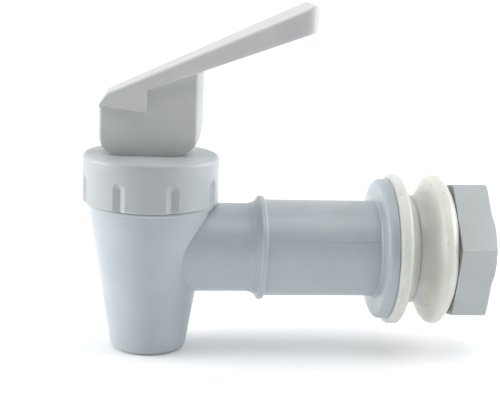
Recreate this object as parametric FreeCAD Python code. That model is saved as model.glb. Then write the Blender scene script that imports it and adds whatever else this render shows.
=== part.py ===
"""Push-lever spigot for a countertop water dispenser, one STEP file per piece.

Millimetres, +Z up.  The origin is on the axis of the horizontal shank, in the
plane where the two seals meet and clamp the tank wall; +X runs along the shank
into the tank, so the spout and the lever are on the -X side.
"""
import FreeCAD
import Part
import math
import os

os.makedirs("parts", exist_ok=True)

V = FreeCAD.Vector
X_AXIS = V(1, 0, 0)
Y_AXIS = V(0, 1, 0)
Z_AXIS = V(0, 0, 1)

# Barrel and spout: a cone on a vertical axis, hollow down to the valve seat.
BARREL_X = -59.8
SPOUT_Z = -23.26
SPOUT_R = 8.47
SPOUT_EDGE_R = 1.6
BARREL_TOP_Z = 9.5
BARREL_TOP_R = 13.78
COLLAR_R = 14.3
COLLAR_HEIGHT = 1.05
COLLAR_TOP_Z = BARREL_TOP_Z + COLLAR_HEIGHT
NECK_R = 12.0
NECK_HEIGHT = 7.05
NECK_TOP_Z = COLLAR_TOP_Z + NECK_HEIGHT
NECK_THREAD_DEPTH = 1.0
NECK_WALL = 1.4
CHAMBER_TOP_R = NECK_R - NECK_THREAD_DEPTH - NECK_WALL
CHAMBER_FLOOR_R = 8.0
CHAMBER_FLOOR_Z = -11.5
SEAT_LIP_R = 6.0
SEAT_LIP_Z = -10.3
SEAT_BORE_R = 5.0
SPOUT_BORE_R = 6.2
SPOUT_BORE_TOP_Z = -13.8

# Shank: tube, stop ring, main tube, clamping flange and threaded end.
TUBE_R = 10.09
RING_FRONT_X = -35.5
RING_BACK_X = -34.1
RING_RAMP = 2.4
MAIN_R = 11.0
RING_PROUD = 0.86
RING_R = MAIN_R + RING_PROUD
FLANGE_R = 16.12
FLANGE_FRONT_X = -8.2
FLANGE_BACK_X = -5.5
FLANGE_EDGE_R = 1.2
SHANK_END_X = 18.4
INLET_R = 6.5
INLET_STEP_X = -44.0
INLET_THROAT_R = 5.5

# Threads: crest radius, depth and pitch; the pieces that screw on keep a gap.
SHANK_THREAD_R = 10.0
SHANK_PITCH = 2.0
SHANK_THREAD_DEPTH = 1.1
NECK_PITCH = 2.5
THREAD_GAP = 0.12
THREAD_LAND = 0.18
THREAD_ROOTING = 0.05
THREAD_START_DEG = 250.0

# Bonnet: the fluted cap screwed on the neck.
BONNET_R = 15.2
BONNET_SEAT_GAP = 0.1
BONNET_BOTTOM_Z = COLLAR_TOP_Z + BONNET_SEAT_GAP
BONNET_HEIGHT = 10.76
BONNET_TOP_Z = BONNET_BOTTOM_Z + BONNET_HEIGHT
BONNET_EDGE_R = 1.0
CUP_RIM_T = 1.5
BONNET_CEILING_Z = NECK_TOP_Z + CUP_RIM_T
BONNET_GUIDE_WALL = 1.14
BONNET_GUIDE_DROP = 3.9
FLUTES = 8
FLUTE_FIRST_DEG = -73.5
FLUTE_WIDTH = 3.2
FLUTE_DEPTH = 0.75
FLUTE_HEIGHT = 6.35
FLUTE_TOP_Z = BONNET_BOTTOM_Z + FLUTE_HEIGHT

# Stem, pin, spring and rubber seat cup on the barrel axis.
STEM_R = 2.2
STEM_GUIDE_GAP = 0.06
STEM_EYE_R = 3.2
STEM_EYE_FLAT = 0.2
STEM_FOOT_T = 1.9
PIN_R = 1.1
PIN_GAP = 0.04
SPRING_WIRE_R = 0.4
SPRING_GUIDE_GAP = 0.2
SPRING_R = STEM_R + STEM_GUIDE_GAP + BONNET_GUIDE_WALL + SPRING_GUIDE_GAP + SPRING_WIRE_R
SPRING_COILS = 8
SPRING_END_GAP = 0.03
CUP_SEAT_GAP = 0.02
CUP_WALL = 0.8
CUP_FIT = 0.3
CUP_LIP_R = SPRING_R + SPRING_WIRE_R + CUP_FIT
CUP_LIP_REACH = 0.8
STEM_FOOT_R = CUP_LIP_R + CUP_LIP_REACH
CUP_R = STEM_FOOT_R + CUP_FIT + CUP_WALL
CUP_FLOOR_T = 3.0
CUP_RIM_R = NECK_R - 0.7
CUP_FLARE_Z = 7.0
STEM_FOOT_Z = SEAT_LIP_Z + CUP_SEAT_GAP + CUP_FLOOR_T + 0.03

# Lever handle, drawn in its own frame: x along the arm, z above the bonnet.
LEVER_TURN_DEG = -1.2
LEVER_SEAT_GAP = 0.05
PIVOT_HEIGHT = 6.6
CAM_OFFSET = 4.4
HUB_LEFT = -11.6
HUB_RIGHT = 11.3
HUB_SIDE_RIGHT = 9.5
HUB_HALF = 4.4
PIN_COVER = 0.9
PIN_HALF = HUB_HALF - PIN_COVER
HUB_HEEL_R = 4.4
HUB_EDGE_R = 0.8
SLOT_SIDE_GAP = 0.15
SLOT_HALF = STEM_R + SLOT_SIDE_GAP
SLOT_ROOF_GAP = 0.6
SLOT_TOP = PIVOT_HEIGHT + STEM_EYE_R + SLOT_ROOF_GAP
SLOT_REACH = 8.2
ARM_HEEL_TOP = 12.85
ARM_SLOPE_TOP = 0.46
ARM_SLOPE_LOW = 0.385
ARM_LOW_AT_ROOT = 14.4
ARM_ROOT_X = -1.2
ARM_END_X = 35.9
ARM_NOSE_X = 34.3
ARM_HEEL_CUT = 1.8
ARM_HALF_ROOT = 4.7
ARM_HALF_TIP = 9.8
ARM_EDGE_R = 0.7
ARM_NOSE_R = 1.5
ARM_NOSE_LOW_R = 2.6
ARM_CORNER_R = 3.0
PAD_PROUD = 0.12
PAD_LOW_LEFT = 10.85
PAD_LOW_RIGHT = 9.65

# Seals and nut.
SEAL_BORE_GAP = 0.15
SEAL_MEET_GAP = 0.05
SEAL_NECK_R = 12.4
SEAL_RIM_R = 17.3
NUT_FRONT_X = 8.2
NUT_THICK = 7.84
NUT_END_X = NUT_FRONT_X + NUT_THICK
NUT_ACROSS_FLATS = 29.6
NUT_TURN_DEG = 12.8
NUT_EDGE = 0.3


def revolve(points, base, axis):
    """Turn a closed outline of 3-D points a full turn about an axis."""
    wire = Part.makePolygon(points + [points[0]])
    return Part.Face(wire).revolve(base, axis, 360)


def upright(profile, x=BARREL_X):
    """Turned piece on a vertical axis from (radius, z) pairs."""
    points = [V(x + r, 0, z) for r, z in profile]
    return revolve(points, V(x, 0, 0), Z_AXIS)


def level(profile):
    """Turned piece on the shank axis from (x, radius) pairs."""
    points = [V(x, 0, r) for x, r in profile]
    return revolve(points, V(0, 0, 0), X_AXIS)


def arc_points(cx, cz, r, start_deg, end_deg, steps):
    """Points of an arc, both ends included."""
    span = end_deg - start_deg
    angles = [math.radians(start_deg + span * i / steps) for i in range(steps + 1)]
    return [(cx + r * math.cos(a), cz + r * math.sin(a)) for a in angles]


def edges_where(shape, test):
    """Edges whose middle point and bounding box pass the test."""
    return [e for e in shape.Edges if test(e.BoundBox)]


def thread_ridge(inner_r, crest_r, pitch, start, length, half_crest):
    """Helical ridge on +Z: a trapezoid with 30 degree flanks swept along a helix."""
    half_root = half_crest + (crest_r - inner_r) * math.tan(math.radians(30.0))
    helix = Part.makeHelix(pitch, length, inner_r)
    outline = [
        V(inner_r, 0, -half_root),
        V(crest_r, 0, -half_crest),
        V(crest_r, 0, half_crest),
        V(inner_r, 0, half_root),
    ]
    profile = Part.makePolygon(outline + [outline[0]])
    ridge = Part.Wire(helix.Edges).makePipeShell([profile], True, True)
    ridge.rotate(V(0, 0, 0), Z_AXIS, THREAD_START_DEG)
    ridge.translate(V(0, 0, start))
    return ridge


def shank_frame(shape):
    """Turn a piece built on +Z so that it lies along +X on the shank axis."""
    shape.rotate(V(0, 0, 0), Y_AXIS, 90)
    return shape


def shank_thread(grow, start, length):
    """Helical ridge of the shank; grow widens it for cutting the nut."""
    crest = SHANK_THREAD_R + grow
    inner = crest - SHANK_THREAD_DEPTH - THREAD_ROOTING
    ridge = thread_ridge(inner, crest, SHANK_PITCH, start, length, THREAD_LAND + grow)
    return shank_frame(ridge)


def barrel_outside():
    """Cone with a rounded lip, collar and the neck that takes the bonnet."""
    lip_slope = (BARREL_TOP_R - SPOUT_R) / (BARREL_TOP_Z - SPOUT_Z)
    lip_z = SPOUT_Z + SPOUT_EDGE_R
    lip_r = SPOUT_R + lip_slope * SPOUT_EDGE_R
    lip = arc_points(lip_r - SPOUT_EDGE_R, lip_z, SPOUT_EDGE_R, -90, -5, 6)
    collar_r = 0.5
    collar = arc_points(COLLAR_R - collar_r, COLLAR_TOP_Z - collar_r, collar_r, -60, 90, 6)
    neck = NECK_R - NECK_THREAD_DEPTH
    profile = [(0, SPOUT_Z)] + lip + [(BARREL_TOP_R, BARREL_TOP_Z)] + collar
    profile += [(neck, COLLAR_TOP_Z), (neck, NECK_TOP_Z), (0, NECK_TOP_Z)]
    return upright(profile)


def barrel_hollow():
    """Valve chamber, seat orifice and spout bore."""
    chamber = [(0, CHAMBER_FLOOR_Z), (CHAMBER_FLOOR_R, CHAMBER_FLOOR_Z)]
    chamber += [(CHAMBER_TOP_R, BARREL_TOP_Z), (CHAMBER_TOP_R, NECK_TOP_Z + 1), (0, NECK_TOP_Z + 1)]
    spout = [(0, SPOUT_Z - 1), (SPOUT_BORE_R, SPOUT_Z - 1), (SPOUT_BORE_R, SPOUT_BORE_TOP_Z)]
    spout += [(SEAT_BORE_R, SPOUT_BORE_TOP_Z + 1.2), (SEAT_BORE_R, CHAMBER_FLOOR_Z + 1), (0, CHAMBER_FLOOR_Z + 1)]
    return upright(chamber).fuse(upright(spout))


def seat_lip():
    """Raised ring round the orifice that the rubber cup closes on."""
    return upright([
        (SEAT_BORE_R, CHAMBER_FLOOR_Z - 0.5),
        (SEAT_LIP_R + 0.8, CHAMBER_FLOOR_Z - 0.5),
        (SEAT_LIP_R, SEAT_LIP_Z),
        (SEAT_BORE_R + 0.4, SEAT_LIP_Z),
        (SEAT_BORE_R, SEAT_LIP_Z - 0.4),
    ])


def neck_thread(grow, start, length):
    """Helical ridge of the neck; grow widens it for cutting the bonnet."""
    crest = NECK_R + grow
    inner = crest - NECK_THREAD_DEPTH - THREAD_ROOTING
    ridge = thread_ridge(inner, crest, NECK_PITCH, start, length, THREAD_LAND + grow)
    ridge.translate(V(BARREL_X, 0, 0))
    return ridge


def shank_outside():
    """Tube with a ramped stop ring, main tube, flange and thread root."""
    root = SHANK_THREAD_R - SHANK_THREAD_DEPTH
    ramp_x = RING_FRONT_X - RING_RAMP
    flange_front = arc_points(
        FLANGE_FRONT_X + FLANGE_EDGE_R, FLANGE_R - FLANGE_EDGE_R, FLANGE_EDGE_R, 180, 90, 5)
    flange_back = arc_points(FLANGE_BACK_X - 0.3, FLANGE_R - 0.3, 0.3, 90, 0, 3)
    profile = [(BARREL_X, 0), (BARREL_X, TUBE_R), (ramp_x, TUBE_R)]
    profile += [(ramp_x + 0.55 * RING_RAMP, TUBE_R + 0.28), (ramp_x + 0.9 * RING_RAMP, TUBE_R + 0.9)]
    profile += [(RING_FRONT_X, RING_R - 0.3), (RING_FRONT_X + 0.3, RING_R)]
    profile += [(RING_BACK_X - 0.25, RING_R), (RING_BACK_X, RING_R - 0.25), (RING_BACK_X, MAIN_R)]
    profile += [(FLANGE_FRONT_X - 0.4, MAIN_R), (FLANGE_FRONT_X, MAIN_R + 0.4)]
    profile += flange_front + flange_back
    profile += [(FLANGE_BACK_X, root), (SHANK_END_X, root), (SHANK_END_X, 0)]
    return level(profile)


def shank_envelope():
    """Limits the thread to the shank's length, with a lead-in at the end."""
    crest = SHANK_THREAD_R + 0.5
    return level([
        (FLANGE_BACK_X - 0.2, 0),
        (FLANGE_BACK_X - 0.2, crest),
        (SHANK_END_X - 0.9, crest),
        (SHANK_END_X, SHANK_THREAD_R - 0.4),
        (SHANK_END_X, 0),
    ])


def inlet_bore():
    """Water way through the shank, with a narrower throat into the chamber."""
    return level([
        (BARREL_X, 0), (BARREL_X, INLET_THROAT_R), (INLET_STEP_X - 0.6, INLET_THROAT_R),
        (INLET_STEP_X, INLET_R), (SHANK_END_X + 1, INLET_R), (SHANK_END_X + 1, 0),
    ])


def tap_body():
    """Barrel, spout and shank as moulded in one piece."""
    thread = shank_thread(0.0, FLANGE_BACK_X - SHANK_PITCH, SHANK_END_X - FLANGE_BACK_X + 2 * SHANK_PITCH)
    thread = thread.common(shank_envelope())
    neck_limit = Part.makeCylinder(NECK_R + 1, NECK_TOP_Z - COLLAR_TOP_Z, V(BARREL_X, 0, COLLAR_TOP_Z))
    ridge = neck_thread(0.0, COLLAR_TOP_Z + 1.2, NECK_TOP_Z - COLLAR_TOP_Z).common(neck_limit)
    outside = barrel_outside().fuse(shank_outside())
    body = outside.cut(barrel_hollow()).cut(inlet_bore())
    return body.fuse(seat_lip()).fuse(thread).fuse(ridge)


def flute(index):
    """One V groove in the bonnet's skirt, open at the bottom with a cone-shaped top."""
    reach = 1.5
    half = FLUTE_WIDTH / 2 * (FLUTE_DEPTH + reach) / FLUTE_DEPTH
    floor_r = BONNET_R - FLUTE_DEPTH
    low = BONNET_BOTTOM_Z - 1
    end = FLUTE_TOP_Z - FLUTE_WIDTH / 2
    corners = [V(floor_r, 0, low), V(BONNET_R + reach, -half, low), V(BONNET_R + reach, half, low)]
    groove = Part.Face(Part.makePolygon(corners + [corners[0]])).extrude(V(0, 0, end - low))
    cap = Part.makeCone(0, half, FLUTE_DEPTH + reach, V(floor_r, 0, end), X_AXIS)
    pocket = groove.fuse(cap)
    angle = -90 + FLUTE_FIRST_DEG + 360.0 / FLUTES * index
    pocket.rotate(V(0, 0, 0), Z_AXIS, angle)
    pocket.translate(V(BARREL_X, 0, 0))
    return pocket


def bonnet():
    """Screw cap with a stem guide, internal thread and outside flutes."""
    bore_r = NECK_R + THREAD_GAP
    edge = arc_points(BONNET_R - BONNET_EDGE_R, BONNET_TOP_Z - BONNET_EDGE_R, BONNET_EDGE_R, 0, 90, 6)
    guide = STEM_R + STEM_GUIDE_GAP
    guide_r = guide + BONNET_GUIDE_WALL
    guide_z = BONNET_CEILING_Z - BONNET_GUIDE_DROP
    profile = [(bore_r + 0.4, BONNET_BOTTOM_Z), (BONNET_R - 0.3, BONNET_BOTTOM_Z)]
    profile += [(BONNET_R, BONNET_BOTTOM_Z + 0.3)] + edge
    profile += [(guide + 0.3, BONNET_TOP_Z), (guide, BONNET_TOP_Z - 0.3), (guide, guide_z)]
    profile += [(guide_r, guide_z), (guide_r, BONNET_CEILING_Z)]
    thread_root = NECK_R - NECK_THREAD_DEPTH + THREAD_GAP
    profile += [(bore_r, BONNET_CEILING_Z), (bore_r, NECK_TOP_Z + 0.1), (thread_root, NECK_TOP_Z - 0.4)]
    profile += [(thread_root, BONNET_BOTTOM_Z + 1.2), (bore_r + 0.4, BONNET_BOTTOM_Z + 0.4)]
    cap = upright(profile)
    groove = neck_thread(THREAD_GAP, COLLAR_TOP_Z + 1.2 - 2 * NECK_PITCH, NECK_TOP_Z - COLLAR_TOP_Z + 4 * NECK_PITCH)
    limit = Part.makeCylinder(NECK_R + 1, NECK_TOP_Z + 0.05 - BONNET_BOTTOM_Z, V(BARREL_X, 0, BONNET_BOTTOM_Z))
    cap = cap.cut(groove.common(limit))
    return cap.cut([flute(i) for i in range(FLUTES)]).removeSplitter()


def seat_cup():
    """Rubber cup: plug floor, thin wall, flared top and clamped rim."""
    bottom = SEAT_LIP_Z + CUP_SEAT_GAP
    floor = bottom + CUP_FLOOR_T
    foot_top = STEM_FOOT_Z + STEM_FOOT_T
    inner = CUP_R - CUP_WALL
    top_inner = CHAMBER_TOP_R - 0.35 - CUP_WALL
    return upright([
        (0, bottom), (CUP_R - 0.9, bottom), (CUP_R, bottom + 0.9), (CUP_R, CUP_FLARE_Z),
        (CHAMBER_TOP_R - 0.35, CUP_FLARE_Z + 7.0), (CHAMBER_TOP_R - 0.35, NECK_TOP_Z + 0.02),
        (CUP_RIM_R, NECK_TOP_Z + 0.02), (CUP_RIM_R, BONNET_CEILING_Z - 0.02),
        (top_inner - 0.3, BONNET_CEILING_Z - 0.02), (top_inner, CUP_FLARE_Z + 7.2),
        (inner, CUP_FLARE_Z + 0.3), (inner, foot_top + 1.6), (CUP_LIP_R, foot_top + 0.9),
        (CUP_LIP_R, foot_top + 0.1), (inner, foot_top + 0.1), (inner, floor), (0, floor),
    ])


def lever_frame(shape):
    """Move a piece from the lever's own frame onto the bonnet and turn it."""
    shape.rotate(V(0, 0, 0), Z_AXIS, LEVER_TURN_DEG)
    shape.translate(V(BARREL_X, 0, BONNET_TOP_Z + LEVER_SEAT_GAP))
    return shape


def stem():
    """Rod with a foot for the cup, flats at the top and an eye for the pin."""
    top = BONNET_TOP_Z + LEVER_SEAT_GAP + PIVOT_HEIGHT
    edge = 0.3
    rod = upright([
        (0, STEM_FOOT_Z), (STEM_FOOT_R - edge, STEM_FOOT_Z), (STEM_FOOT_R, STEM_FOOT_Z + edge),
        (STEM_FOOT_R, STEM_FOOT_Z + STEM_FOOT_T - edge), (STEM_FOOT_R - edge, STEM_FOOT_Z + STEM_FOOT_T),
        (STEM_R, STEM_FOOT_Z + STEM_FOOT_T), (STEM_R, top), (0, top),
    ])
    half = STEM_R - STEM_EYE_FLAT
    eye = Part.makeCylinder(STEM_EYE_R, 2 * half, V(0, -half, PIVOT_HEIGHT), Y_AXIS)
    hole = Part.makeCylinder(PIN_R + 0.01, 4 * STEM_R, V(0, -2 * STEM_R, PIVOT_HEIGHT), Y_AXIS)
    return rod.fuse(lever_frame(eye)).cut(lever_frame(hole)).removeSplitter()


def pivot_pin():
    """Plain pin through the stem's eye; its ends sit in the lever's cheeks."""
    pin = Part.makeCylinder(PIN_R, 2 * PIN_HALF, V(0, -PIN_HALF, PIVOT_HEIGHT), Y_AXIS)
    return lever_frame(pin)


def return_spring():
    """Compression spring between the stem's foot and the bonnet's ceiling."""
    low = STEM_FOOT_Z + STEM_FOOT_T + SPRING_WIRE_R + SPRING_END_GAP
    high = BONNET_CEILING_Z - SPRING_WIRE_R - SPRING_END_GAP
    helix = Part.makeHelix((high - low) / SPRING_COILS, high - low, SPRING_R)
    wire = Part.Wire(Part.makeCircle(SPRING_WIRE_R, V(SPRING_R, 0, 0), Y_AXIS))
    coil = Part.Wire(helix.Edges).makePipeShell([wire], True, True)
    coil.translate(V(BARREL_X, 0, low))
    return coil


def extrude_side(points, half):
    """Side outline of (x, z) pairs spread over -half to +half in y."""
    wire = Part.makePolygon([V(x, -half, z) for x, z in points + [points[0]]])
    return Part.Face(wire).extrude(V(0, 2 * half, 0))


def bowed_plan(left, side_right, right, half_left, half_right, low, high):
    """Block whose far end is an arc through (side_right, +-half) and (right, 0)."""
    rise = right - side_right
    base = [V(left, -half_left, low), V(side_right, -half_right, low)]
    far = [V(side_right, half_right, low), V(left, half_left, low)]
    bow = Part.Arc(base[1], V(side_right + rise, 0, low), far[0]).toShape()
    sides = [
        Part.makeLine(base[0], base[1]),
        bow,
        Part.makeLine(far[0], far[1]),
        Part.makeLine(far[1], base[0]),
    ]
    return Part.Face(Part.Wire(sides)).extrude(V(0, 0, high - low))


def arm_top(x):
    """Height of the arm's upper face above the bonnet."""
    return ARM_HEEL_TOP + ARM_SLOPE_TOP * (x - HUB_LEFT)


def arm_low(x):
    """Height of the arm's lower face above the bonnet."""
    return ARM_LOW_AT_ROOT + ARM_SLOPE_LOW * (x - ARM_ROOT_X)


def arm_half(x):
    """Half the arm's width, growing towards its end."""
    taper = (ARM_HALF_TIP - ARM_HALF_ROOT) / (ARM_NOSE_X - HUB_LEFT)
    return ARM_HALF_ROOT + taper * (x - HUB_LEFT)


def hub():
    """Upright block whose rounded lower right edge cams on the bonnet."""
    cam_r = PIVOT_HEIGHT
    cam = arc_points(CAM_OFFSET, cam_r, cam_r, -90, 0, 24)
    heel = arc_points(HUB_LEFT + HUB_HEEL_R, HUB_HEEL_R, HUB_HEEL_R, 180, 270, 12)
    outline = heel + cam + [(HUB_RIGHT, cam_r + 0.4), (HUB_RIGHT, arm_low(HUB_RIGHT) + 1)]
    outline += [(HUB_LEFT, arm_low(HUB_LEFT) + 0.3)]
    block = extrude_side(outline, HUB_HALF)
    plan = bowed_plan(HUB_LEFT, HUB_SIDE_RIGHT, HUB_RIGHT, HUB_HALF, HUB_HALF, -1, 40)
    return block.common(plan)


def arm_section(x):
    """Upright cross-section of the arm at x, a rectangle with rounded corners."""
    r = ARM_EDGE_R
    side = arm_half(x) - r
    centres = [(side, arm_top(x) - r), (-side, arm_top(x) - r), (-side, arm_low(x) + r), (side, arm_low(x) + r)]
    arcs = []
    for quarter, (y, z) in enumerate(centres):
        ends = [V(x, cy, cz) for cy, cz in arc_points(y, z, r, 90 * quarter, 90 * quarter + 90, 2)]
        arcs.append(Part.Arc(*ends).toShape())
    edges = []
    for arc, following in zip(arcs, arcs[1:] + arcs[:1]):
        edges += [arc, Part.makeLine(arc.Vertexes[-1].Point, following.Vertexes[0].Point)]
    return Part.Wire(edges)


def arm():
    """Rising paddle, wider towards its bowed and rounded end."""
    low_angle = math.atan(ARM_SLOPE_LOW)
    low_x = ARM_END_X - ARM_NOSE_LOW_R
    low_z = arm_low(low_x) + ARM_NOSE_LOW_R / math.cos(low_angle)
    low_corner = arc_points(low_x, low_z, ARM_NOSE_LOW_R, math.degrees(low_angle) - 90, 0, 7)
    top_angle = math.atan(ARM_SLOPE_TOP)
    top_x = ARM_END_X - ARM_NOSE_R
    top_z = arm_top(top_x) - ARM_NOSE_R / math.cos(top_angle)
    top_corner = arc_points(top_x, top_z, ARM_NOSE_R, 0, math.degrees(top_angle) + 90, 9)
    outline = [(HUB_LEFT, arm_low(HUB_LEFT) - 1)] + low_corner + top_corner
    outline += [
        (HUB_LEFT + ARM_HEEL_CUT, arm_top(HUB_LEFT + ARM_HEEL_CUT)),
        (HUB_LEFT, arm_top(HUB_LEFT) - ARM_HEEL_CUT),
    ]
    slab = extrude_side(outline, ARM_HALF_TIP + 1)
    play = 0.02
    plan = bowed_plan(
        HUB_LEFT - 1, ARM_NOSE_X, ARM_END_X + play, ARM_HALF_ROOT + play, ARM_HALF_TIP + play, -1, 60)
    corners = edges_where(plan, lambda b: b.ZLength > 50 and b.XMin > 0)
    end = plan.makeFillet(ARM_CORNER_R, corners)
    bar = Part.makeLoft([arm_section(HUB_LEFT - 0.5), arm_section(ARM_END_X + 1)], True, True)
    return bar.common(end).common(slab)


def side_pad():
    """Thicker patch of the hub's cheeks below the heel of the arm."""
    left = HUB_LEFT + 0.9
    outline = [
        (left, PAD_LOW_LEFT), (ARM_ROOT_X, PAD_LOW_RIGHT),
        (ARM_ROOT_X, arm_top(ARM_ROOT_X) - 0.9), (left, arm_top(left) - 0.9),
    ]
    wide, narrow = arm_half(ARM_ROOT_X) + PAD_PROUD, arm_half(left) + PAD_PROUD
    corners = [V(left, -narrow, 0), V(ARM_ROOT_X, -wide, 0), V(ARM_ROOT_X, wide, 0), V(left, narrow, 0)]
    plan = Part.Face(Part.makePolygon(corners + [corners[0]])).extrude(V(0, 0, arm_top(ARM_ROOT_X)))
    return extrude_side(outline, wide + 1).common(plan)


def stem_slot():
    """Slot from below for the stem, open towards the arm as the lever tips."""
    eye_gap = STEM_EYE_R + 0.3
    outline = [
        (-eye_gap, -1), (SLOT_REACH + 1.0, -1), (SLOT_REACH, 0.6), (eye_gap + 0.8, PIVOT_HEIGHT),
        (eye_gap, SLOT_TOP - 1.2), (eye_gap - 1.2, SLOT_TOP), (-eye_gap + 1.2, SLOT_TOP), (-eye_gap, SLOT_TOP - 1.2),
    ]
    return extrude_side(outline, SLOT_HALF)


def lever_handle():
    """Hub, paddle and cheek pads in one moulding, slotted for the stem."""
    block = hub()
    uprights = edges_where(block, lambda b: b.ZLength > 5 and b.XLength < 0.6 and b.YLength < 0.1)
    block = block.makeFillet(HUB_EDGE_R, uprights)
    holes = Part.makeCylinder(PIN_R + PIN_GAP, 2 * PIN_HALF + 0.2, V(0, -PIN_HALF - 0.1, PIVOT_HEIGHT), Y_AXIS)
    whole = block.fuse([arm(), side_pad()]).cut([stem_slot(), holes]).removeSplitter()
    return lever_frame(whole)


def front_seal():
    """Soft ring between the flange and the outside of the tank wall."""
    bore = SHANK_THREAD_R + SEAL_BORE_GAP
    back = FLANGE_BACK_X + 0.02
    rim = arc_points(back + 0.6, SEAL_RIM_R - 0.6, 0.6, 180, 90, 5)
    rim += arc_points(-3.5, SEAL_RIM_R - 0.7, 0.7, 90, 25, 5)
    profile = [(back, bore), (back, SEAL_RIM_R - 1.2)] + rim
    rise = SEAL_RIM_R - SEAL_NECK_R
    profile += [(-2.45, SEAL_NECK_R + 0.65 * rise), (-1.3, SEAL_NECK_R + 0.31 * rise), (-0.6, SEAL_NECK_R + 0.11 * rise)]
    profile += [(-0.25, SEAL_NECK_R + 0.1), (-SEAL_MEET_GAP, SEAL_NECK_R - 0.1), (-SEAL_MEET_GAP, bore)]
    return level(profile)


def rear_seal():
    """Soft ring between the inside of the tank wall and the nut."""
    bore = SHANK_THREAD_R + SEAL_BORE_GAP
    end = NUT_FRONT_X - 0.05
    rise = SEAL_RIM_R - SEAL_NECK_R
    shape = [
        (0.025, 0.02), (0.067, 0.18), (0.129, 0.47), (0.221, 0.70), (0.325, 0.87), (0.417, 0.96),
        (0.515, 1.0), (0.663, 1.0), (0.748, 0.94), (0.834, 0.83), (0.908, 0.67), (0.969, 0.52), (1.0, 0.43),
    ]
    rim = [(end * along, SEAL_NECK_R + rise * up) for along, up in shape]
    return level([(SEAL_MEET_GAP, bore), (SEAL_MEET_GAP, SEAL_NECK_R - 0.1)] + rim + [(end, bore)])


def hex_nut():
    """Hexagon nut with lightly broken corners, threaded for the shank."""
    corner_r = NUT_ACROSS_FLATS / 2 / math.cos(math.radians(30))
    corners = []
    for i in range(6):
        a = math.radians(NUT_TURN_DEG + 60 * i)
        corners.append(V(NUT_FRONT_X, -corner_r * math.cos(a), corner_r * math.sin(a)))
    prism = Part.Face(Part.makePolygon(corners + [corners[0]])).extrude(V(NUT_END_X - NUT_FRONT_X, 0, 0))
    limit = [(NUT_FRONT_X, 0), (NUT_FRONT_X, corner_r - NUT_EDGE), (NUT_FRONT_X + NUT_EDGE, corner_r)]
    limit += [(NUT_END_X - NUT_EDGE, corner_r), (NUT_END_X, corner_r - NUT_EDGE), (NUT_END_X, 0)]
    blank = prism.common(level(limit))
    root = SHANK_THREAD_R - SHANK_THREAD_DEPTH + THREAD_GAP
    crest = SHANK_THREAD_R + THREAD_GAP
    bore = level([
        (NUT_FRONT_X - 1, 0), (NUT_FRONT_X - 1, crest + 1), (NUT_FRONT_X, crest + 0.3),
        (NUT_FRONT_X + 1.3, root), (NUT_END_X - 1.3, root), (NUT_END_X, crest + 0.3),
        (NUT_END_X + 1, crest + 1), (NUT_END_X + 1, 0),
    ])
    start = FLANGE_BACK_X - SHANK_PITCH
    groove = shank_thread(THREAD_GAP, start, SHANK_END_X - FLANGE_BACK_X + 3 * SHANK_PITCH)
    near = Part.makeCylinder(crest + 1, NUT_THICK + 1, V(NUT_FRONT_X - 0.5, 0, 0), X_AXIS)
    return blank.cut(bore).cut(groove.common(near))


PIECES = {
    "tap_body": tap_body,
    "bonnet": bonnet,
    "lever_handle": lever_handle,
    "stem": stem,
    "pivot_pin": pivot_pin,
    "return_spring": return_spring,
    "seat_cup": seat_cup,
    "front_seal": front_seal,
    "rear_seal": rear_seal,
    "hex_nut": hex_nut,
}

for name, build in PIECES.items():
    piece = build()
    piece.exportStep("parts/" + name + ".step")
    print(name, len(piece.Solids), piece.isValid(), round(piece.Volume, 1))
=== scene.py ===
import bmesh
import bpy
import math
import numpy as np
from mathutils import Matrix, Vector


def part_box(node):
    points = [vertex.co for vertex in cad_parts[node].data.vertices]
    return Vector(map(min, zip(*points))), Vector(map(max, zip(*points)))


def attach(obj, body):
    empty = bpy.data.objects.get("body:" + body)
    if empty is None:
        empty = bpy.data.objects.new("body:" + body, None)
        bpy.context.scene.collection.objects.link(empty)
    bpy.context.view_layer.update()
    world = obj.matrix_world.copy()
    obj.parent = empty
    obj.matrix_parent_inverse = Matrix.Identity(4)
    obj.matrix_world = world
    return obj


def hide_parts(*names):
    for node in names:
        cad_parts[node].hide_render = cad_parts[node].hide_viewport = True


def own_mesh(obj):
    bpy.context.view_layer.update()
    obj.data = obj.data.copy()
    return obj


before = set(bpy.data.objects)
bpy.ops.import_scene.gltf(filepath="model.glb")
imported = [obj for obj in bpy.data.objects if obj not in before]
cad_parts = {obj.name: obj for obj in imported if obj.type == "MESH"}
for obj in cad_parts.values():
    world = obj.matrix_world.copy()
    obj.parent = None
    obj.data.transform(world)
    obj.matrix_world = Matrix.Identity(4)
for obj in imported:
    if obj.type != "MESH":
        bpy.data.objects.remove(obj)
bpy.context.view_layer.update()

# Tap body: barrel, spout, shank, stop ring, clamping flange and thread, injection
# moulded in one piece of bluish white polypropylene.  Everything else hangs on it.


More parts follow.
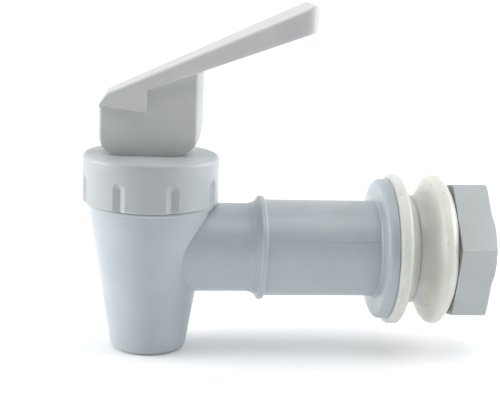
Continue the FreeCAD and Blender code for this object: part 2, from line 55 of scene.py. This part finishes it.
def moulded_plastic(name, colour, roughness, spread=0.035, seed=0.0):
    """Moulded plastic: faint clouds in the colour, uneven gloss and a very fine skin.

    Colour = base times (1 - spread .. 1 + spread) by a soft noise; gloss varies by a
    second noise; the skin is a fine noise used as bump.
    """
    mat = bpy.data.materials.new(name)
    mat.use_nodes = True
    nodes, links = mat.node_tree.nodes, mat.node_tree.links
    shader = nodes["Principled BSDF"]
    shader.inputs["IOR"].default_value = 1.49
    shader.inputs["Subsurface Weight"].default_value = 0.15
    shader.inputs["Subsurface Radius"].default_value = (1.0, 1.0, 1.1)
    shader.inputs["Subsurface Scale"].default_value = 0.0012
    place = nodes.new("ShaderNodeTexCoord")
    shift = nodes.new("ShaderNodeMapping")
    shift.inputs["Location"].default_value = (seed, seed * 0.7, -seed)
    links.new(place.outputs["Object"], shift.inputs["Vector"])

    clouds = nodes.new("ShaderNodeTexNoise")
    clouds.inputs["Scale"].default_value = 140.0
    clouds.inputs["Detail"].default_value = 4.0
    tint = nodes.new("ShaderNodeValToRGB")
    low, high = tint.color_ramp.elements
    low.position, high.position = 0.3, 0.7
    low.color = (*[c * (1.0 - spread) for c in colour], 1.0)
    high.color = (*[c * (1.0 + spread) for c in colour], 1.0)
    links.new(shift.outputs["Vector"], clouds.inputs["Vector"])
    links.new(clouds.outputs["Fac"], tint.inputs["Fac"])
    links.new(tint.outputs["Color"], shader.inputs["Base Color"])

    rub = nodes.new("ShaderNodeTexNoise")
    rub.inputs["Scale"].default_value = 420.0
    rub.inputs["Detail"].default_value = 6.0
    gloss = nodes.new("ShaderNodeMapRange")
    gloss.inputs["To Min"].default_value = roughness - 0.06
    gloss.inputs["To Max"].default_value = roughness + 0.08
    links.new(shift.outputs["Vector"], rub.inputs["Vector"])
    links.new(rub.outputs["Fac"], gloss.inputs["Value"])
    links.new(gloss.outputs["Result"], shader.inputs["Roughness"])

    skin = nodes.new("ShaderNodeTexNoise")
    skin.inputs["Scale"].default_value = 1500.0
    skin.inputs["Detail"].default_value = 3.0
    bump = nodes.new("ShaderNodeBump")
    bump.inputs["Strength"].default_value = 0.30
    bump.inputs["Distance"].default_value = 0.00002
    links.new(shift.outputs["Vector"], skin.inputs["Vector"])
    links.new(skin.outputs["Fac"], bump.inputs["Height"])
    links.new(bump.outputs["Normal"], shader.inputs["Normal"])
    return mat


def dress(node, mat):
    """Give a CAD node its finish."""
    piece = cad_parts[node]
    piece.data.materials.clear()
    piece.data.materials.append(mat)
    return piece


body_white = moulded_plastic("body_plastic", (0.455, 0.505, 0.535), 0.33, seed=0.11)
dress("tap_body", body_white)

# Shank seams: the hair-fine raised lines where the two halves of the shank's mould
# meet, one on each side.  They are part of the moulding, so they take its finish.


def hair_bead(name, start, end, angle, radius, bead_r):
    """Thin closed bead along X on a round shank.

    At share s of its length and angle b round its own centre line, the point is the
    centre (x, R cos angle, R sin angle) plus bead_r * taper(s) * (0, cos b, sin b),
    and taper falls to zero over the last thirtieth at both ends.
    """
    s = np.linspace(0.0, 1.0, 61)
    b = np.linspace(0.0, 2 * math.pi, 8, endpoint=False)
    thick = bead_r * np.clip(np.minimum(s, 1.0 - s) * 30.0, 0.0, 1.0)
    points = np.empty((len(s), len(b), 3))
    points[..., 0] = (start + (end - start) * s)[:, None]
    points[..., 1] = radius * math.cos(angle) + thick[:, None] * np.cos(b)
    points[..., 2] = radius * math.sin(angle) + thick[:, None] * np.sin(b)
    return grid_piece(name, points, wrap_first=False)


def grid_piece(name, points, wrap_first):
    """Mesh of a point grid that closes round its second way, and its first if asked.

    Rings that shrink to a point are welded, and the faces are turned outwards.
    """
    rows, columns = points.shape[:2]
    index = np.arange(rows * columns).reshape(rows, columns)
    across = np.roll(index, -1, axis=1)
    last = rows if wrap_first else rows - 1
    after = np.roll(index, -1, axis=0)[:last]
    quads = np.stack([index[:last], across[:last], np.roll(after, -1, axis=1), after], axis=-1)
    mesh = bpy.data.meshes.new(name)
    mesh.from_pydata(points.reshape(-1, 3), [], quads.reshape(-1, 4).tolist())
    work = bmesh.new()
    work.from_mesh(mesh)
    bmesh.ops.remove_doubles(work, verts=work.verts, dist=1e-7)
    bmesh.ops.recalc_face_normals(work, faces=work.faces)
    work.to_mesh(mesh)
    work.free()
    mesh.polygons.foreach_set("use_smooth", np.ones(len(mesh.polygons), dtype=bool))
    piece = bpy.data.objects.new(name, mesh)
    bpy.context.scene.collection.objects.link(piece)
    return piece


seam_angle = math.radians(21.3)
for name, angle in (("shank_seam_front", math.pi - seam_angle), ("shank_seam_back", -seam_angle)):
    seam = hair_bead(name, -0.0335, -0.0090, angle, 0.01100, 0.00012)
    seam.data.materials.append(body_white)
    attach(seam, "tap")

# Bonnet: screw cap of slightly warmer white plastic with V grooves round its skirt,
# screwed down on the barrel's neck.
cap_white = moulded_plastic("bonnet_plastic", (0.43, 0.462, 0.475), 0.36, seed=0.37)
dress("bonnet", cap_white)

# Lever handle: hub and paddle moulded in one piece of the same white plastic, hinged
# on the stem's pin, with cheeks either side of the stem.
lever_white = moulded_plastic("lever_plastic", (0.535, 0.545, 0.545), 0.38, seed=0.71)
dress("lever_handle", lever_white)

# Stem: turned rod of natural acetal, with an eye at the top for the lever's pin and a
# round foot that presses in the seat cup.  It slides in the bonnet.
stem_white = moulded_plastic("stem_acetal", (0.80, 0.80, 0.77), 0.30, seed=0.05)
dress("stem", stem_white)

# Pin and spring: bright stainless wire.  The spring is built at the length of the CAD spring, its
# upper end resting on the bonnet's ceiling; in the real tap it shortens as the stem rises.


def bright_wire(name):
    """Drawn stainless wire: metal whose gloss varies by a fine noise, standing for draw marks."""
    mat = bpy.data.materials.new(name)
    mat.use_nodes = True
    nodes, links = mat.node_tree.nodes, mat.node_tree.links
    shader = nodes["Principled BSDF"]
    shader.inputs["Base Color"].default_value = (0.60, 0.60, 0.61, 1.0)
    shader.inputs["Metallic"].default_value = 1.0
    place = nodes.new("ShaderNodeTexCoord")
    marks = nodes.new("ShaderNodeTexNoise")
    marks.inputs["Scale"].default_value = 2500.0
    marks.inputs["Detail"].default_value = 2.0
    gloss = nodes.new("ShaderNodeMapRange")
    gloss.inputs["To Min"].default_value = 0.18
    gloss.inputs["To Max"].default_value = 0.36
    links.new(place.outputs["Object"], marks.inputs["Vector"])
    links.new(marks.outputs["Fac"], gloss.inputs["Value"])
    links.new(gloss.outputs["Result"], shader.inputs["Roughness"])
    return mat


steel = bright_wire("stainless_wire")
dress("pivot_pin", steel)


def coil_wire(name, centre, coil_r, wire_r, low, high, turns):
    """Coil spring: the wire's centre runs round a helix, closing at both ends.

    At share s the centre is (coil_r cos 2 pi n s, coil_r sin 2 pi n s, z(s)), where z
    rises evenly; the round section stands on the outward and the upright direction
    and shrinks to a point at both cut ends.
    """
    s = np.linspace(0.0, 1.0, turns * 36 + 1)
    b = np.linspace(0.0, 2 * math.pi, 12, endpoint=False)
    turn = 2 * math.pi * turns * s
    thick = wire_r * np.clip(np.minimum(s, 1.0 - s) * 400.0, 0.0, 1.0)
    reach = coil_r + thick[:, None] * np.cos(b)
    points = np.empty((len(s), len(b), 3))
    points[..., 0] = centre[0] + reach * np.cos(turn)[:, None]
    points[..., 1] = centre[1] + reach * np.sin(turn)[:, None]
    points[..., 2] = (low + (high - low) * s)[:, None] + thick[:, None] * np.sin(b)
    return grid_piece(name, points, wrap_first=False)


spring_low, spring_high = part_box("return_spring")
axis_x = (spring_low.x + spring_high.x) / 2
spring = coil_wire(
    "spring_wire", (axis_x, 0.0), 0.0040, 0.0004, spring_low.z + 0.0004, spring_high.z - 0.0004, 8)
spring.data.materials.append(steel)
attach(spring, "tap")
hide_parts("return_spring")
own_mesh(spring)

# Seals and seat cup: soft milky silicone, compression moulded.  One ring sits on the
# flange and one on the nut, and the cup closes on the valve seat under the stem.


def milky_silicone(name, colour, roughness):
    """Soft translucent rubber: light goes in and comes out scattered and a bit warmer.

    A slow noise makes it cloudier in places, and a fine one leaves a dusty skin.
    """
    mat = bpy.data.materials.new(name)
    mat.use_nodes = True
    nodes, links = mat.node_tree.nodes, mat.node_tree.links
    shader = nodes["Principled BSDF"]
    shader.inputs["IOR"].default_value = 1.41
    shader.inputs["Subsurface Weight"].default_value = 1.0
    shader.inputs["Subsurface Radius"].default_value = (1.0, 0.93, 0.78)
    shader.inputs["Subsurface Scale"].default_value = 0.0035
    shader.inputs["Transmission Weight"].default_value = 0.22
    place = nodes.new("ShaderNodeTexCoord")
    clouds = nodes.new("ShaderNodeTexNoise")
    clouds.inputs["Scale"].default_value = 170.0
    clouds.inputs["Detail"].default_value = 5.0
    tint = nodes.new("ShaderNodeValToRGB")
    low, high = tint.color_ramp.elements
    low.position, high.position = 0.32, 0.68
    low.color = (*[c * 0.94 for c in colour], 1.0)
    high.color = (*[min(1.0, c * 1.05) for c in colour], 1.0)
    links.new(place.outputs["Object"], clouds.inputs["Vector"])
    links.new(clouds.outputs["Fac"], tint.inputs["Fac"])
    links.new(tint.outputs["Color"], shader.inputs["Base Color"])
    dust = nodes.new("ShaderNodeTexNoise")
    dust.inputs["Scale"].default_value = 900.0
    dust.inputs["Detail"].default_value = 4.0
    gloss = nodes.new("ShaderNodeMapRange")
    gloss.inputs["To Min"].default_value = roughness - 0.08
    gloss.inputs["To Max"].default_value = roughness + 0.10
    bump = nodes.new("ShaderNodeBump")
    bump.inputs["Strength"].default_value = 0.12
    bump.inputs["Distance"].default_value = 0.00001
    links.new(place.outputs["Object"], dust.inputs["Vector"])
    links.new(dust.outputs["Fac"], gloss.inputs["Value"])
    links.new(gloss.outputs["Result"], shader.inputs["Roughness"])
    links.new(dust.outputs["Fac"], bump.inputs["Height"])
    links.new(bump.outputs["Normal"], shader.inputs["Normal"])
    return mat


def eased(outline, closed, rounds=3):
    """Corner cutting: each round replaces every corner by two points, a quarter and
    three quarters along its edges, so the line softens and stays inside its corners."""
    for _ in range(rounds):
        if closed:
            a, b = outline, np.roll(outline, -1, axis=0)
            outline = np.stack([0.75 * a + 0.25 * b, 0.25 * a + 0.75 * b], axis=1).reshape(-1, 2)
        else:
            a, b = outline[:-1], outline[1:]
            cut = np.stack([0.75 * a + 0.25 * b, 0.25 * a + 0.75 * b], axis=1).reshape(-1, 2)
            outline = np.concatenate([outline[:1], cut, outline[-1:]])
    return outline


def turned(name, outline, base, along, out, closed, steps=160):
    """Surface of revolution: an outline point at distance d and radius r, turned by an
    angle a, lies at base + d * along + r * (cos a * out + sin a * side)."""
    a = np.linspace(0.0, 2 * math.pi, steps, endpoint=False)
    along, out = np.array(along, float), np.array(out, float)
    side = np.cross(along, out)
    spokes = np.cos(a)[:, None] * out + np.sin(a)[:, None] * side
    points = np.array(base, float) + outline[:, None, :1] * along + outline[:, None, 1:] * spokes
    return grid_piece(name, points, wrap_first=closed)


seal_milky = milky_silicone("seal_silicone", (0.82, 0.83, 0.78), 0.30)
front_low, front_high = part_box("front_seal")
rim_r, neck_r, bore_r = front_high.z, 0.0124, 0.01015
rise = rim_r - neck_r
back, meet = front_low.x, front_high.x
front_outline = np.array([
    (back, bore_r), (back, rim_r - 0.0016), (back, rim_r - 0.0004), (back + 0.0003, rim_r),
    (back + 0.0012, rim_r), (meet - 0.0035, rim_r), (meet - 0.0029, rim_r - 0.0002),
    (meet - 0.0024, neck_r + 0.66 * rise), (meet - 0.0013, neck_r + 0.31 * rise),
    (meet - 0.0006, neck_r + 0.12 * rise), (meet, neck_r + 0.02 * rise),
    (meet, neck_r - 0.0006), (meet, bore_r)])
shank_line = ((0, 0, 0), (1, 0, 0), (0, 0, 1))
front_ring = turned("front_seal_ring", eased(front_outline, True), *shank_line, True)
front_ring.data.materials.append(seal_milky)
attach(front_ring, "tap")
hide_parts("front_seal")

rear_low, rear_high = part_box("rear_seal")
start, width = rear_low.x, rear_high.x - rear_low.x
rear_shape = np.array([
    (0.0, -0.12), (0.0, 0.0), (0.13, 0.0), (0.24, 0.10), (0.34, 0.36), (0.44, 0.72), (0.53, 0.94),
    (0.62, 1.0), (0.72, 1.0), (0.82, 0.90), (0.91, 0.70), (0.97, 0.50), (1.0, 0.40), (1.0, 0.25)])
rear_outline = np.column_stack([
    start + width * rear_shape[:, 0], neck_r + rise * rear_shape[:, 1]])
rear_outline = np.vstack([[(start, bore_r)], rear_outline, [(start + width, bore_r)]])
rear_ring = turned("rear_seal_ring", eased(rear_outline, True), *shank_line, True)
rear_ring.data.materials.append(seal_milky)
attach(rear_ring, "backing")
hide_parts("rear_seal")

cup_milky = milky_silicone("cup_silicone", (0.82, 0.81, 0.76), 0.42)
cup_low, cup_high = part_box("seat_cup")
rim, floor_top = (cup_high.x - cup_low.x) / 2, cup_low.z + 0.0030
cup_outline = np.array([
    (cup_low.z, 0.0), (cup_low.z, 0.0057),
    (cup_low.z + 0.0003, 0.0064), (cup_low.z + 0.0010, 0.0066),
    (0.0070, 0.0066), (0.0140, 0.00925), (0.01762, 0.00925), (0.01762, rim), (cup_high.z, rim),
    (cup_high.z, 0.00815), (0.0142, 0.00845), (0.0073, 0.0058),
    (-0.0037, 0.0058), (-0.0044, 0.0048), (-0.0052, 0.0048), (-0.0052, 0.0058),
    (floor_top, 0.0058), (floor_top, 0.0)])
barrel_line = ((axis_x, 0, 0), (0, 0, 1), (1, 0, 0))
cup = turned("seat_cup_skin", eased(cup_outline, False, 2), *barrel_line, False, 96)
cup.data.materials.append(cup_milky)
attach(cup, "tap")
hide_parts("seat_cup")
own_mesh(cup)

# Nut: hexagon nut moulded in the same white plastic, with the shank's thread inside.
# It is run up by hand against the rear seal to clamp the tank wall.
nut_white = moulded_plastic("nut_plastic", (0.51, 0.54, 0.55), 0.34, seed=0.93)
dress("hex_nut", nut_white)

# Floor: a plain white table top just under the spout.  It glows a little more the
# farther back it goes, so that it stays white behind the tap.
floor_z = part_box("tap_body")[0].z - 0.00005
half = 4.0  # half of its side
mesh = bpy.data.meshes.new("floor")
mesh.from_pydata(
    [(-half, -half, floor_z), (half, -half, floor_z),
     (half, half, floor_z), (-half, half, floor_z)],
    [], [(0, 1, 2, 3)])
floor = bpy.data.objects.new("floor", mesh)
bpy.context.scene.collection.objects.link(floor)
white = bpy.data.materials.new("floor_white")
white.use_nodes = True
floor_shader = white.node_tree.nodes["Principled BSDF"]
floor_shader.inputs["Base Color"].default_value = (0.94, 0.945, 0.95, 1.0)
floor_shader.inputs["Roughness"].default_value = 1.0
floor_shader.inputs["Specular IOR Level"].default_value = 0.0
floor_shader.inputs["Emission Color"].default_value = (1.0, 1.0, 1.0, 1.0)
glow_place = white.node_tree.nodes.new("ShaderNodeTexCoord")
glow_split = white.node_tree.nodes.new("ShaderNodeSeparateXYZ")
glow = white.node_tree.nodes.new("ShaderNodeMapRange")
glow.inputs["From Min"].default_value = -0.10
glow.inputs["From Max"].default_value = 0.40
glow.inputs["To Min"].default_value = 0.0
glow.inputs["To Max"].default_value = 0.40
white.node_tree.links.new(glow_place.outputs["Object"], glow_split.inputs["Vector"])
white.node_tree.links.new(glow_split.outputs["Y"], glow.inputs["Value"])
white.node_tree.links.new(glow.outputs["Result"], floor_shader.inputs["Emission Strength"])
floor.data.materials.append(white)

# Light: a white studio dome, dimmer and cooler low down towards -Y, with a soft box far
# out past each end of the tap and a small one overhead.
world = bpy.data.worlds.new("studio")
bpy.context.scene.world = world
world.use_nodes = True
wn, wl = world.node_tree.nodes, world.node_tree.links
where = wn.new("ShaderNodeTexCoord")
slant = wn.new("ShaderNodeVectorMath")
slant.operation = "DOT_PRODUCT"
slant.inputs[1].default_value = (0.0, 0.88, 0.475)
depth = wn.new("ShaderNodeMapRange")
depth.inputs["From Min"].default_value = -1.0
depth.inputs["From Max"].default_value = 1.0
ramp = wn.new("ShaderNodeValToRGB")
ramp.color_ramp.interpolation = "EASE"
stops = ramp.color_ramp.elements
stops[0].position = 0.24
stops[0].color = (0.035, 0.045, 0.05, 1.0)
stops[1].position = 0.74
stops[1].color = (1.0, 1.0, 1.0, 1.0)
wl.new(where.outputs["Generated"], slant.inputs[0])
wl.new(slant.outputs["Value"], depth.inputs["Value"])
wl.new(depth.outputs["Result"], ramp.inputs["Fac"])
wl.new(ramp.outputs["Color"], wn["Background"].inputs["Color"])
wn["Background"].inputs["Strength"].default_value = 0.95


def soft_box(name, spot, aim, size, power, colour=(1.0, 1.0, 1.0)):
    """Square area light at spot, facing aim."""
    lamp = bpy.data.lights.new(name, "AREA")
    lamp.shape = "SQUARE"
    lamp.size = size
    lamp.energy = power
    lamp.color = colour
    holder = bpy.data.objects.new(name, lamp)
    holder.location = spot
    holder.rotation_euler = (Vector(aim) - Vector(spot)).to_track_quat("-Z", "Y").to_euler()
    bpy.context.scene.collection.objects.link(holder)
    return holder


soft_box("left_box", (-1.50, 0.13, 0.37), (-0.06, 0.0, 0.02), 1.0, 20.5)
soft_box("right_box", (1.375, 0.10, 0.47), (-0.02, 0.0, 0.02), 1.0, 16.9)
soft_box("top_box", (0.05, -0.16, 0.58), (-0.01, 0.0, 0.0), 0.36, 0.9)

# Camera: a long lens standing a little above the tap and to the spout side, turned
# to the right and tipped down.  It has no shift and no depth of field.
stand = (-0.068003, -0.258742, 0.066146)
yaw, pitch, roll = 0.11812, 0.20865, 0.03857
level = math.cos(pitch)
ahead = Vector((math.sin(yaw) * level, math.cos(yaw) * level, -math.sin(pitch)))
right = Vector((math.cos(yaw), -math.sin(yaw), 0.0))
up = right.cross(ahead)
right_rolled = right * math.cos(roll) + up * math.sin(roll)
up_rolled = up * math.cos(roll) - right * math.sin(roll)
camera_data = bpy.data.cameras.new("camera")
camera_data.sensor_width = 36.0
camera_data.lens = 84.562848
camera_data.clip_start = 0.01
camera_data.clip_end = 20.0
camera = bpy.data.objects.new("camera", camera_data)
spin = Matrix((right_rolled, up_rolled, -ahead)).transposed().to_4x4()
camera.matrix_world = Matrix.Translation(stand) @ spin
bpy.context.scene.collection.objects.link(camera)
bpy.context.scene.camera = camera
bpy.context.scene.view_settings.view_transform = "Standard"
